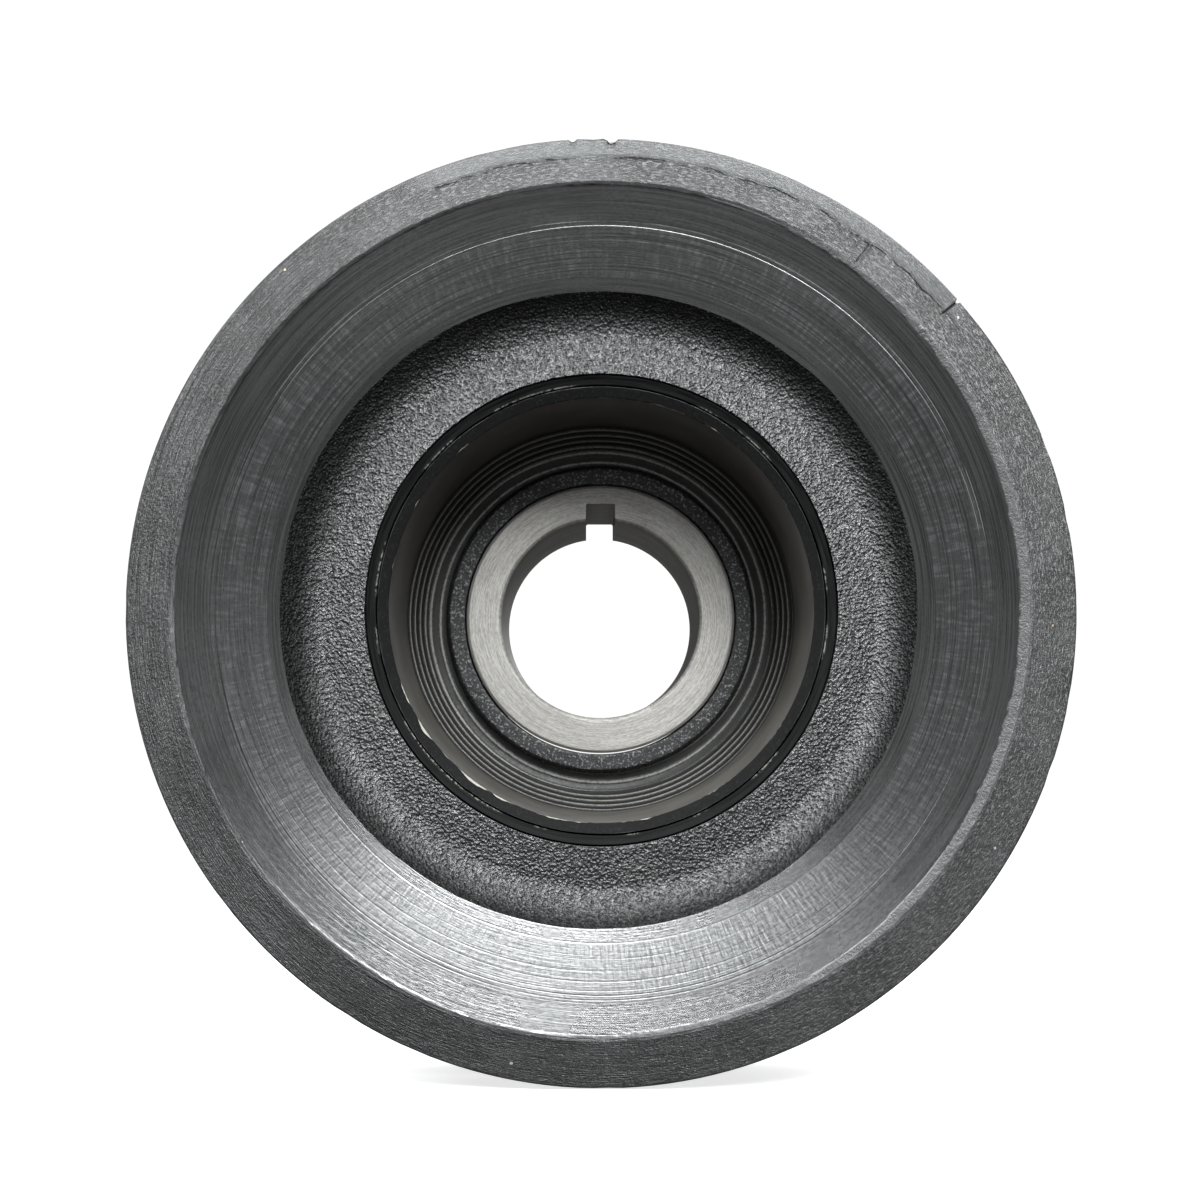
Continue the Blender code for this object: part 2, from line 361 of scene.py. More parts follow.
def ring_shape(radius, y, angle, normal):
    points = spots(radius, y, angle)
    height = np.zeros_like(angle)
    mask = np.zeros_like(angle)
    past_seam = np.full_like(angle, FAR_FROM_SEAM)
    r, at_y = radius[0], y[0]
    front = at_y < RIM_EDGE_Y + 9 * MM and r < OUTER_RADIUS - 0.2 * MM
    if front and r < CONE_INNER_RADIUS - 0.01 * MM:
        edge = smooth(r, BOND_OUTER_RADIUS, BOND_OUTER_RADIUS + 0.7 * MM)
        height += casting_grain(points) * (0.35 + 0.65 * edge)
        mask += 1
    rear = RIM_EDGE_Y + 14 * MM < at_y < RIM_REAR_Y - 0.6 * MM and 43.6 * MM < r < 55.4 * MM
    if rear:
        height += casting_grain(points) * 0.9
        mask += 1
    if front:
        reach = 5 * MM if r < CONE_INNER_RADIUS else 2 * MM
        weight = max(0.0, 1 - abs(r - CONE_INNER_RADIUS) / reach)
        wobble = value_noise(points, 7 * MM, 4) * 0.12 + value_noise(points, 2 * MM, 5) * 0.05
        shift = (CONE_EDGE_SHIFT * np.cos(angle) + wobble) * weight * MM
        radius = radius + shift
        y = y + shift * CONE_SLOPE
    if front and LIP_RADIUS - 2.1 * MM < r < LIP_RADIUS + 0.25 * MM:
        ragged = 0.18 * value_noise(points, 1.3 * MM, 6) * MM
        start = LIP_RADIUS - cast_band_width(angle) + ragged
        band = smooth(r, start, start + 0.12 * MM)
        height += band * (0.05 * MM + 1.6 * casting_grain(points))
        mask = np.maximum(mask, band)
    if front and r > LIP_RADIUS + 0.25 * MM:
        swell = 0.05 * value_noise(points, 9 * MM, 7) + 0.03 * value_noise(points, 2.5 * MM, 8)
        height += swell * MM * smooth(r, LIP_RADIUS + 0.2 * MM, LIP_RADIUS + 1.5 * MM)
        wander = 0.5 * value_noise(points, 11 * MM, 10) + 0.35 * value_noise(points, 2.2 * MM, 11)
        seam = SEAM_RADIUS + wander * MM
        seam_reach = 1 - smooth(np.abs(turn_from(angle, SEAM_MIDDLE)), SEAM_HALF - 6, SEAM_HALF)
        past = r - seam
        ridge = bell(past, -0.1 * MM, 0.28 * MM) * (0.75 + 0.5 * value_noise(points, 1.5 * MM, 12))
        height += seam_reach * (0.3 * ridge - 0.12 * smooth(past, -0.1 * MM, 0.35 * MM)) * MM
        mask = seam_reach * smooth(past, 0, 0.3 * MM)
        past_seam = past / MM
        cut = bell(turn_from(angle, RADIAL_CUT[0]), 0, RADIAL_CUT[1])
        burr = bell(turn_from(angle, RADIAL_CUT[0] - 0.3), 0, RADIAL_CUT[1])
        along = smooth(r, LIP_RADIUS + 0.2 * MM, LIP_RADIUS + 0.9 * MM)
        along = along * (1 - smooth(r, 71.6 * MM, 72.1 * MM))
        height += along * (0.12 * burr - 0.45 * cut) * MM
    if r > 70.5 * MM and at_y < RIM_EDGE_Y + 3.2 * MM:
        fade = 1 - smooth(at_y, RIM_EDGE_Y + 0.8 * MM, RIM_EDGE_Y + 2.6 * MM)
        slit = bell(turn_from(angle, EDGE_NOTCHES[0][0]), 0, EDGE_NOTCHES[0][1]) ** 2
        height -= 0.7 * MM * slit * smooth(r, 70.6 * MM, 71.6 * MM) * fade
        rust = 1 - smooth(np.abs(turn_from(angle, EDGE_NOTCHES[1][0])), 0.35, 0.62)
        step = 1 - smooth(np.abs(turn_from(angle, EDGE_NOTCHES[2][0])), 0.2, 0.45)
        height -= MM * (0.75 * rust + 0.35 * step) * smooth(r, 73.6 * MM, 74.4 * MM) * fade
        dents = np.clip(value_noise(points, 1.6 * MM, 9) - 0.55, 0, 1)
        height -= 0.45 * MM * dents * smooth(r, 74.3 * MM, 74.9 * MM) * fade
    return radius + height * normal[0], y + height * normal[1], mask, past_seam


def pulley_ring():
    rows, zones = turned_rows(ring_corners())
    ring, names = lathe(
        "pulley_ring_casting", rows, zones, {"trough", "cone", "rim"}, ring_angles(), ring_shape
    )
    finishes = {
        "trough": cast_paint("cast_black_paint", 1.0),
        "cone": turned_cone(),
        "rim": rim_face(),
        "groove": groove_walls(),
        "rear_turned": rear_turned(),
        "rear_cast": cast_paint("cast_black_paint_rear", 0.8),
        "bond": groove_walls(),
    }
    for name in names:
        ring.data.materials.append(finishes[name])
    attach(ring, "ring_body")
    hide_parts("pulley_ring")
    return ring


# ---------------------------------------------------------------- rubber ring


def rubber_shape(radius, y, angle, normal):
    points = spots(radius, y, angle)
    height = np.zeros_like(angle)
    mask = np.zeros_like(angle)
    r, at_y = radius[0], y[0]
    if at_y < RIM_EDGE_Y + 4 * MM:
        height += 0.03 * MM * value_noise(points, 3 * MM, 21)
        torn = np.clip(value_noise(points * (1, 3, 1), 5 * MM, 22) + 0.1, 0, 1)
        inner = 1 - smooth(r, BOND_INNER_RADIUS + 0.15 * MM, BOND_INNER_RADIUS + 0.4 * MM)
        mask = inner * smooth(torn, 0.25, 0.5)
    return radius + height * normal[0], y + height * normal[1], mask, np.zeros_like(angle)


def damper_rubber():
    inner = BOND_INNER_RADIUS + GAP / 2
    outer = BOND_OUTER_RADIUS - GAP / 2
    sag = 0.35 * MM
    corners = [
        (inner, ledge_y(inner), 0.03 * MM, "face", 0.14 * MM),
        ((inner + outer) / 2, ledge_y((inner + outer) / 2) + 0.1 * MM, 0, "face", 0.12 * MM),
        (outer, ledge_y(outer), 0.03 * MM, "side", 12 * MM),
        (outer, BOND_REAR_Y - sag, 0, "side", 0.4 * MM),
        ((inner + outer) / 2, BOND_REAR_Y - 2 * sag, 0, "side", 0.4 * MM),
        (inner, BOND_REAR_Y - sag, 0, "side", 12 * MM),
    ]
    rows, zones = turned_rows(corners)
    angles = np.arange(HUB_SEGMENTS) * math.tau / HUB_SEGMENTS
    rubber, names = lathe("damper_rubber_ring", rows, zones, {"face"}, angles, rubber_shape)
    finish = rubber_finish()
    for _ in names:
        rubber.data.materials.append(finish)
    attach(rubber, "rubber_body")
    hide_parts("damper_rubber")
    return rubber


# ---------------------------------------------------------------- hub

SPIRAL_FEED = 1.65 * MM
SPIRAL_START_ANGLE = math.radians(270)
# Bare chips along the cup's mouth: angle and half width in degrees, width in millimetres
MOUTH_CHIPS = (
    (97, 5, 0.3), (84, 9, 0.3), (72, 7, 0.38), (58, 6, 0.28), (30, 5, 0.2), (8, 4, 0.25), (-12, 5, 0.2),
    (-35, 6, 0.22), (-60, 8, 0.3), (-80, 9, 0.34), (-100, 9, 0.36), (-118, 4, 0.45), (-126, 5, 0.62),
    (-136, 4, 0.3), (-146, 3.5, 0.6), (-156, 6, 0.35), (-172, 7, 0.22), (168, 5, 0.3), (150, 6, 0.25),
    (132, 5, 0.3), (116, 4, 0.22),
)


def hub_corners():
    outer = BOND_INNER_RADIUS - GAP / 2
    seat = SLEEVE_RADIUS + GAP
    rear = CUP_FLOOR[1] + CUP_FLOOR_THICKNESS
    boss_rear = HUB_FACE_Y + BOSS_REACH
    return [
        (seat, HUB_FACE_Y, 0.15 * MM, "cup", 0.35 * MM),
        (LAND_RADIUS, HUB_FACE_Y, 0.3 * MM, "cup", 0.35 * MM),
        (LAND_RADIUS + 0.6 * MM, CUP_FLOOR[1], 0.25 * MM, "cup", 0.11 * MM),
        (*CUP_FLOOR, 3 * MM, "cup", 0.11 * MM),
        (*CUP_FOOT, 2 * MM, "cup", 3 * MM),
        (CUP_MOUTH_RADIUS, CUP_MOUTH_Y, 0.1 * MM, "cup", 0.12 * MM),
        (outer, ledge_y(outer), 0.03 * MM, "back", 10 * MM),
        (outer, rear, 1.5 * MM, "back", 2 * MM),
        (BOSS_RADIUS, rear, 2 * MM, "back", 2 * MM),
        (BOSS_RADIUS, boss_rear, 1 * MM, "back", 2 * MM),
        (seat, boss_rear, 0, "back", 4 * MM),
    ]


def spiral_turns(radius, y):
    """Turns of the boring tool's spiral between the raw land and this row, or None off the spiral."""
    start = LAND_RADIUS + 0.5 * MM
    if radius < start or y > CUP_FLOOR[1] + 1 * MM or y < CUP_FOOT[1] - 0.4 * MM:
        return None
    floor_run = min(radius, CUP_FLOOR[0]) - start
    bend_run = math.hypot(max(0.0, radius - CUP_FLOOR[0]), y - CUP_FLOOR[1]) if radius > CUP_FLOOR[0] else 0.0
    return (floor_run + bend_run) / SPIRAL_FEED


def hub_shape(radius, y, angle, normal):
    points = spots(radius, y, angle)
    height = np.zeros_like(angle)
    mask = np.zeros_like(angle)
    crest = np.full_like(angle, -1.0)
    r, at_y = radius[0], y[0]
    inside = normal[1] < 0.3 and r < CUP_MOUTH_RADIUS and r > SLEEVE_RADIUS + GAP + 0.01 * MM
    if inside and at_y > HUB_FACE_Y - 0.3 * MM and r < LAND_RADIUS + 0.5 * MM:
        height += 1.1 * casting_grain(points)
        mask += 1
    turns = spiral_turns(r, at_y) if inside else None
    if turns is not None:
        wander = 0.03 * value_noise(points, 4 * MM, 35)
        phase = turns - (angle - SPIRAL_START_ANGLE) / math.tau + wander
        crest = np.cos(math.tau * phase)
        height += (0.12 * smooth(crest, 0.1, 1.0) + 0.015 * value_noise(points, 1.2 * MM, 31)) * MM
    ledge = r > CUP_MOUTH_RADIUS - 0.1 * MM and at_y < CUP_MOUTH_Y + 0.3 * MM
    if ledge:
        width = np.zeros_like(angle)
        for degrees, half, chip_mm in MOUTH_CHIPS:
            width = np.maximum(width, chip_mm * bell(turn_from(angle, degrees), 0, half))
        width += 0.1 * value_noise(points, 0.6 * MM, 32) + 0.1 * value_noise(points, 2.4 * MM, 33)
        distance = (r - CUP_MOUTH_RADIUS) / MM
        mask = np.clip(0.5 + (width - 0.22 - distance) * 4, 0, 1)
        height += 0.03 * MM * value_noise(points, 2 * MM, 34) - 0.05 * MM * smooth(mask, 0.3, 0.7)
    return radius + height * normal[0], y + height * normal[1], mask, crest


def hub():
    rows, zones = turned_rows(hub_corners())
    angles = np.arange(HUB_SEGMENTS) * math.tau / HUB_SEGMENTS
    casting, names = lathe("hub_casting", rows, zones, {"cup"}, angles, hub_shape)
    finishes = {"cup": cup_finish(), "back": rear_turned()}
    for name in names:
        casting.data.materials.append(finishes[name])
    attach(casting, "hub_body")
    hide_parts("hub")
    return casting


# ---------------------------------------------------------------- keyed sleeve


def sleeve_shape(radius, y, angle, normal):
    points = spots(radius, y, angle)
    height = np.zeros_like(angle)
    if y[0] < HUB_FACE_Y + 0.2 * MM:
        height += 0.012 * MM * value_noise(points, 1.5 * MM, 41)
        if radius[0] < BORE_RADIUS + 0.8 * MM:
            height -= 0.07 * MM * np.clip(value_noise(points, 0.8 * MM, 42), 0, 1)
    return radius + height * normal[0], y + height * normal[1], np.zeros_like(angle), np.zeros_like(angle)


def keyway_cutter():
    top = BORE_RADIUS + KEY_DEPTH
    bottom = BORE_RADIUS / 2
    half = KEY_WIDTH / 2
    round_off = 0.35 * MM
    outline = [(-half, bottom), (half, bottom)]
    for side in (1, -1):
        for step in range(5):
            angle = math.radians(step * 22.5)
            if side < 0:
                angle = math.pi / 2 - angle
            x = side * (half - round_off + round_off * math.cos(angle))
            outline.append((x, top - round_off + round_off * math.sin(angle)))
    count = len(outline)
    points = [(x, y, z) for y in (HUB_FACE_Y * 2, SLEEVE_END_Y * 2) for x, z in outline]
    faces = [list(range(count)), list(range(count, 2 * count))[::-1]]
    for i in range(count):
        after = (i + 1) % count
        faces.append([i, count + i, count + after, after])
    mesh = bpy.data.meshes.new("keyway_cutter")
    mesh.from_pydata(points, [], faces)
    mesh.update()
    cutter = bpy.data.objects.new("keyway_cutter", mesh)
    bpy.context.scene.collection.objects.link(cutter)
    return cutter


def hub_sleeve():
    chamfer = 0.45 * MM
    corners = [
        (BORE_RADIUS, HUB_FACE_Y + chamfer, 0.1 * MM, "sleeve", 0.3 * MM),
        (BORE_RADIUS + chamfer, HUB_FACE_Y, 0.1 * MM, "sleeve", 0.5 * MM),
        (SLEEVE_RADIUS - chamfer, HUB_FACE_Y, 0.1 * MM, "sleeve", 0.3 * MM),
        (SLEEVE_RADIUS, HUB_FACE_Y + chamfer, 0.1 * MM, "sleeve", 8 * MM),
        (SLEEVE_RADIUS, SLEEVE_END_Y - 1.2 * MM, 0.3 * MM, "sleeve", 0.6 * MM),
        (SLEEVE_RADIUS - 0.6 * MM, SLEEVE_END_Y, 0.2 * MM, "sleeve", 1.5 * MM),
        (BORE_RADIUS + chamfer, SLEEVE_END_Y, 0.1 * MM, "sleeve", 0.3 * MM),
        (BORE_RADIUS, SLEEVE_END_Y - chamfer, 0.1 * MM, "sleeve", 8 * MM),
    ]
    rows, zones = turned_rows(corners, steps=2)
    angles = np.arange(SLEEVE_SEGMENTS) * math.tau / SLEEVE_SEGMENTS
    sleeve, _ = lathe("hub_sleeve_keyed", rows, zones, {"sleeve"}, angles, sleeve_shape)
    sleeve.data.materials.append(sleeve_steel())
    cutter = keyway_cutter()
    cut = sleeve.modifiers.new("keyway", "BOOLEAN")
    cut.operation = "DIFFERENCE"
    cut.solver = "EXACT"
    cut.object = cutter
    graph = bpy.context.evaluated_depsgraph_get()
    finished = bpy.data.meshes.new_from_object(sleeve.evaluated_get(graph), depsgraph=graph)
    sleeve.modifiers.clear()
    sleeve.data = finished
    finished.set_sharp_from_angle(angle=math.radians(40))
    bpy.data.objects.remove(cutter, do_unlink=True)
    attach(sleeve, "hub_body")
    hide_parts("hub_sleeve")
    return sleeve


# ---------------------------------------------------------------- materials


class Finish:
    """A node material, put together one texture at a time from the piece's own coordinates."""

    def __init__(self, name, colour, roughness, metallic=0.0, specular=0.5):
        self.material = bpy.data.materials.new(name)
        self.material.use_nodes = True
        self.tree = self.material.node_tree
        self.shader = self.tree.nodes["Principled BSDF"]
        self.set("Base Color", (*colour, 1.0))
        self.set("Roughness", roughness)
        self.set("Metallic", metallic)
        self.set("Specular IOR Level", specular)
        self.place = self.add("ShaderNodeTexCoord").outputs["Object"]
        flat = self.vector("MULTIPLY", self.place, (1, 0, 1))
        self.radius = self.vector("LENGTH", flat)
        self.round = self.vector("NORMALIZE", flat)
        split = self.add("ShaderNodeSeparateXYZ")
        self.link(self.place, split.inputs[0])
        self.y = split.outputs["Y"]
        self.across = self.maths("ADD", self.radius, self.y)

    def add(self, kind, **settings):
        node = self.tree.nodes.new(kind)
        for key, value in settings.items():
            setattr(node, key, value)
        return node

    def link(self, source, socket):
        if isinstance(source, bpy.types.NodeSocket):
            self.tree.links.new(source, socket)
        else:
            socket.default_value = source

    def set(self, name, value):
        self.link(value, self.shader.inputs[name])

    def vector(self, operation, a, b=None):
        node = self.add("ShaderNodeVectorMath", operation=operation)
        self.link(a, node.inputs[0])
        if b is not None:
            self.link(b, node.inputs[3] if operation == "SCALE" else node.inputs[1])
        return node.outputs["Value" if operation in ("LENGTH", "DISTANCE", "DOT_PRODUCT") else "Vector"]

    def maths(self, operation, a, b=None, clamp=False):
        node = self.add("ShaderNodeMath", operation=operation, use_clamp=clamp)
        self.link(a, node.inputs[0])
        if b is not None:
            self.link(b, node.inputs[1])
        return node.outputs[0]

    def ramp(self, value, low, high, to_low=0.0, to_high=1.0):
        node = self.add("ShaderNodeMapRange", interpolation_type="SMOOTHSTEP")
        for socket, given in zip(node.inputs, (value, low, high, to_low, to_high)):
            self.link(given, socket)
        return node.outputs["Result"]

    def noise(self, vector, scale, detail=2.0, roughness=0.5):
        node = self.add("ShaderNodeTexNoise")
        self.link(vector, node.inputs["Vector"])
        node.inputs["Scale"].default_value = scale
        node.inputs["Detail"].default_value = detail
        node.inputs["Roughness"].default_value = roughness
        return node.outputs["Fac"]

    def pebbles(self, vector, scale, smoothness=0.6):
        node = self.add("ShaderNodeTexVoronoi", feature="SMOOTH_F1")
        self.link(vector, node.inputs["Vector"])
        node.inputs["Scale"].default_value = scale
        node.inputs["Smoothness"].default_value = smoothness
        return node.outputs["Distance"]

    def stretched(self, around, across):
        """Coordinates for marks that run along circles (a low first number) or radii (a low second one)."""
        ring = self.vector("SCALE", self.round, float(around))
        line = self.add("ShaderNodeCombineXYZ")
        self.link(self.maths("MULTIPLY", self.across, float(across)), line.inputs["Y"])
        return self.vector("ADD", ring, line.outputs[0])

    def marks(self):
        """The mesh's two marks: a mask, and the hub's spiral crest or the ring's distance past the seam in mm."""
        node = self.add("ShaderNodeAttribute", attribute_name="marks")
        split = self.add("ShaderNodeSeparateXYZ")
        self.link(node.outputs["Vector"], split.inputs[0])
        return split.outputs["X"], split.outputs["Y"]

    def mix(self, share, a, b):
        node = self.add("ShaderNodeMix", data_type="RGBA")
        self.link(share, node.inputs["Factor"])
        for value, socket in ((a, node.inputs[6]), (b, node.inputs[7])):
            self.link((*value, 1.0) if isinstance(value, tuple) else value, socket)
        return node.outputs[2]

    def blend(self, share, a, b):
        node = self.add("ShaderNodeMix", data_type="FLOAT")
        for value, socket in zip((share, a, b), node.inputs[:1] + node.inputs[2:4]):
            self.link(value, socket)
        return node.outputs[0]

    def bump(self, height, distance, normal=None, strength=1.0):
        node = self.add("ShaderNodeBump")
        self.link(height, node.inputs["Height"])
        self.link(strength, node.inputs["Strength"])
        node.inputs["Distance"].default_value = distance
        if normal is not None:
            self.link(normal, node.inputs["Normal"])
        return node.outputs[0]

    def turning(self, strength):
        """Gloss drawn out across the tool marks."""
        tangent = self.add("ShaderNodeTangent", direction_type="RADIAL", axis="Y")
        self.set("Tangent", tangent.outputs[0])
        self.set("Anisotropic", strength)

    def facing(self, degrees, low, high):
        """1 in a sector round that angle, falling to 0 outside it. low and high are cosines."""
        angle = math.radians(degrees)
        towards = self.vector("DOT_PRODUCT", self.round, (math.cos(angle), 0, math.sin(angle)))
        return self.ramp(towards, low, high)

    def lip_shade(self):
        """A dark, dull line along the lip's upper half. It stands in for shade there, not for other paint."""
        upper = self.facing(112, 0.35, 0.75)
        ragged = self.maths("MULTIPLY", self.noise(self.place, 900, 3), 0.5 * MM)
        near = self.maths("ABSOLUTE", self.maths("SUBTRACT", self.radius, LIP_RADIUS - 0.1 * MM))
        line = self.ramp(self.maths("SUBTRACT", near, ragged), 0.05 * MM, 0.35 * MM, 1, 0)
        return self.maths("MULTIPLY", upper, line)

    def spot(self, degrees, radius_mm, y, size_mm, stretch=0.35):
        """1 inside one small ragged spot."""
        angle = math.radians(degrees)
        centre = (radius_mm * MM * math.cos(angle), y, radius_mm * MM * math.sin(angle))
        away = self.vector("DISTANCE", self.place, centre)
        ragged = self.maths("MULTIPLY", self.noise(self.place, 2500, 2), size_mm * MM * stretch)
        return self.maths("LESS_THAN", self.maths("ADD", away, ragged), size_mm * MM * (0.5 + stretch / 2))


# Bare chips: angle in degrees, radius and size in millimetres, colour
RIM_CHIPS = (
    (133.1, 73.4, 0.4, (0.6, 0.5, 0.36)), (258.8, 72.2, 0.55, (0.7, 0.58, 0.5)),
    (-31.5, 72.0, 0.4, (0.6, 0.58, 0.55)),
    (-2.3, 70.7, 0.3, (0.6, 0.5, 0.25)), (39.2, 72.9, 0.5, (0.4, 0.41, 0.42)),
)
CONE_CHIPS = ((178.7, 66.0, 0.5, (0.7, 0.7, 0.7)), (148.3, 66.2, 0.4, (0.6, 0.5, 0.4)))


def rim_y(radius):
    """Where the rim face lies at a radius."""
    return LIP_Y + (radius - LIP_RADIUS) * (RIM_EDGE_Y - LIP_Y) / (OUTER_RADIUS - LIP_RADIUS)


def cast_paint(name, gloss):
    made = Finish(name, (0.02, 0.02, 0.02), 0.3, 0.0, 0.8)
    fine = made.noise(made.place, 3000, 3, 0.65)
    grain = made.pebbles(made.place, 2100, 0.3)
    swell = made.noise(made.place, 1500, 2, 0.5)
    dirt = made.noise(made.place, 300, 4, 0.6)
    front = made.ramp(made.y, RIM_EDGE_Y + 8 * MM, RIM_EDGE_Y + 10 * MM, 1, 0)
    below = made.facing(270, -0.2, 0.6)
    shifted = made.maths("SUBTRACT", made.radius, made.maths("MULTIPLY", below, 2 * MM))
    # The bank is darkened as if in shade, starting further out at the bottom
    bank = made.maths("MULTIPLY", made.ramp(shifted, 43.6 * MM, 48.4 * MM), front)
    colour = made.mix(made.ramp(swell, 0.4, 0.65), (0.006, 0.006, 0.006), (0.075, 0.076, 0.077))
    colour = made.mix(made.ramp(dirt, 0.55, 0.75, 0, 0.5), colour, (0.04, 0.037, 0.033))
    made.set("Base Color", made.mix(made.maths("MULTIPLY", bank, 0.8), colour, (0.006, 0.006, 0.006)))
    made.set("Roughness", made.ramp(swell, 0.35, 0.65, 0.4, 0.13))
    made.set("Specular IOR Level", made.blend(bank, 1.1, 0.15))
    normal = made.bump(swell, 0.34 * MM * gloss)
    normal = made.bump(grain, 0.36 * MM * gloss, normal)
    made.set("Normal", made.bump(fine, 0.2 * MM * gloss, normal))
    return made.material


def turned_cone():
    made = Finish("cone_turned_paint", (0.03, 0.03, 0.03), 0.3, 0.0, 1.0)
    made.turning(0.3)
    cast, _ = made.marks()
    zone_start = made.ramp(made.radius, 52.3 * MM, 52.6 * MM)
    zone_end = made.ramp(made.radius, 60.2 * MM, 62.5 * MM, 1, 0)
    chatter_zone = made.maths("MULTIPLY", zone_start, zone_end)
    lines = made.noise(made.stretched(2.0, 5200), 1.0, 3, 0.7)
    chatter = made.noise(made.stretched(100, 420), 1.0, 2, 0.55)
    streaks = made.noise(made.stretched(70, 3600), 1.0, 2, 0.6)
    grain = made.noise(made.place, 2400, 3, 0.6)
    cloud = made.noise(made.place, 90, 3)
    colour = made.mix(made.ramp(lines, 0.35, 0.65), (0.008, 0.008, 0.008), (0.026, 0.026, 0.026))
    shiny = made.maths("MULTIPLY", chatter_zone, made.ramp(chatter, 0.45, 0.7, 0, 0.5))
    shiny = made.maths("MULTIPLY", shiny, made.ramp(lines, 0.4, 0.6))
    colour = made.mix(shiny, colour, (0.075, 0.077, 0.077))
    broken = made.ramp(made.noise(made.place, 70, 2), 0.42, 0.56, 0, 0.6)
    scored = made.maths("MULTIPLY", made.facing(85, -0.4, 0.4), broken)
    for radius_mm in CONE_GROOVES[-2:]:
        near = made.maths("ABSOLUTE", made.maths("SUBTRACT", made.radius, radius_mm * MM))
        line = made.maths("MULTIPLY", scored, made.ramp(near, 0.02 * MM, 0.08 * MM, 1, 0))
        colour = made.mix(line, colour, (0.16, 0.16, 0.16))
    colour = made.mix(cast, colour, (0.07, 0.07, 0.07))
    for degrees, radius_mm, size_mm, chip_colour in CONE_CHIPS:
        colour = made.mix(made.spot(degrees, radius_mm, rim_y(radius_mm * MM), size_mm), colour, chip_colour)
    made.set("Base Color", colour)
    across = made.maths("ABSOLUTE", made.vector("DOT_PRODUCT", made.round, (1, 0, 0)))
    # Less gloss at both sides, which stands in for softer light there
    side_gloss = made.ramp(across, 0.5, 0.95, 1.0, 0.35)
    gloss = made.maths("MULTIPLY", made.ramp(streaks, 0.35, 0.6, 1.2, 1.7), side_gloss)
    gloss = made.blend(cast, gloss, 0.4)
    made.set("Specular IOR Level", made.blend(made.lip_shade(), gloss, 0.1))
    rough = made.blend(chatter_zone, made.ramp(cloud, 0.35, 0.65, 0.24, 0.28), 0.3)
    made.set("Roughness", made.blend(cast, rough, 0.32))
    below = made.facing(262, 0.2, 0.8)
    marks = made.maths("MULTIPLY", made.maths("MULTIPLY", chatter, chatter_zone), made.blend(below, 0.4, 1.6))
    turned = made.maths("ADD", made.maths("MULTIPLY", lines, 0.9), marks)
    turned = made.maths("ADD", turned, made.maths("MULTIPLY", streaks, 0.5))
    normal = made.bump(made.blend(cast, turned, made.maths("MULTIPLY", grain, 8.0)), 0.03 * MM)
    made.set("Normal", normal)
    return made.material


def rim_face():
    made = Finish("rim_face_paint", (0.06, 0.06, 0.06), 0.4, 0.0, 0.6)
    made.turning(0.25)
    smooth_part, past_seam = made.marks()
    zone_ends = [math.cos(math.radians(SEAM_HALF - fade)) for fade in (0, 6)]
    seam_zone = made.facing(SEAM_MIDDLE, *zone_ends)
    seam_edge = made.maths("ADD", past_seam, made.maths("MULTIPLY", made.noise(made.place, 1300, 3), 0.5))
    broken = made.maths("MULTIPLY", seam_zone, made.ramp(made.noise(made.place, 330, 2), 0.4, 0.5))
    # A dip along the seam's edge, also painted dark there as the shadow of the seam's ridge
    seam_dip_and_shadow = made.ramp(made.maths("ABSOLUTE", seam_edge), 0.05, 0.16, 1, 0)
    seam_dip_and_shadow = made.maths("MULTIPLY", seam_dip_and_shadow, broken)
    fold = made.maths("MULTIPLY", made.ramp(seam_edge, -0.6, -0.1), made.ramp(seam_edge, 0.1, -0.05))
    fold = made.maths("MULTIPLY", fold, broken)
    left = made.facing(205, -0.3, 0.5)
    lines = made.noise(made.stretched(5.0, 3400), 1.0, 3, 0.65)
    streaks = made.noise(made.stretched(75, 3000), 1.0, 3, 0.65)
    grain = made.noise(made.place, 1900, 3, 0.65)
    cloud = made.noise(made.place, 110, 4)
    colour = made.mix(made.ramp(cloud, 0.35, 0.65), (0.03, 0.03, 0.029), (0.055, 0.055, 0.054))
    flecks = made.maths("MULTIPLY", made.ramp(streaks, 0.48, 0.66, 0, 0.9), made.blend(left, 1.0, 0.5))
    colour = made.mix(flecks, colour, (0.19, 0.192, 0.192))
    dark_lines = made.maths("MULTIPLY", left, made.ramp(lines, 0.54, 0.4))
    colour = made.mix(dark_lines, colour, (0.008, 0.008, 0.008))
    colour = made.mix(made.maths("MULTIPLY", smooth_part, 0.6), colour, (0.07, 0.072, 0.073))
    # Painted shadow: a dark line along the seam's ridge
    colour = made.mix(seam_dip_and_shadow, colour, (0.006, 0.006, 0.006))
    colour = made.mix(made.lip_shade(), colour, (0.012, 0.012, 0.012))
    for degrees, radius_mm, size_mm, chip_colour in RIM_CHIPS:
        colour = made.mix(made.spot(degrees, radius_mm, rim_y(radius_mm * MM), size_mm), colour, chip_colour)
    made.set("Base Color", colour)
    made.set("Specular IOR Level", made.blend(made.lip_shade(), 0.6, 0.1))
    made.set("Roughness", made.ramp(streaks, 0.3, 0.7, 0.46, 0.26))
    turned = made.maths("ADD", made.maths("MULTIPLY", lines, left), made.maths("MULTIPLY", grain, 0.8))
    height = made.maths("ADD", streaks, turned)
    height = made.maths("MULTIPLY", height, made.blend(smooth_part, 1.0, 0.4))
    height = made.maths("ADD", height, made.maths("MULTIPLY", made.maths("SUBTRACT", fold, seam_dip_and_shadow), 0.6))
    made.set("Normal", made.bump(height, 0.34 * MM))
    return made.material


def groove_walls():
    made = Finish("groove_paint", (0.04, 0.04, 0.04), 0.36)
    made.turning(0.3)
    lines = made.noise(made.stretched(2.5, 3600), 1.0, 3, 0.6)
    grain = made.noise(made.place, 2000, 3, 0.6)
    colour = made.mix(made.ramp(lines, 0.35, 0.65), (0.025, 0.025, 0.026), (0.06, 0.06, 0.061))
    made.set("Base Color", colour)
    made.set("Roughness", made.ramp(grain, 0.3, 0.7, 0.52, 0.36))
    normal = made.bump(lines, 0.05 * MM)
    made.set("Normal", made.bump(grain, 0.06 * MM, normal))
    return made.material


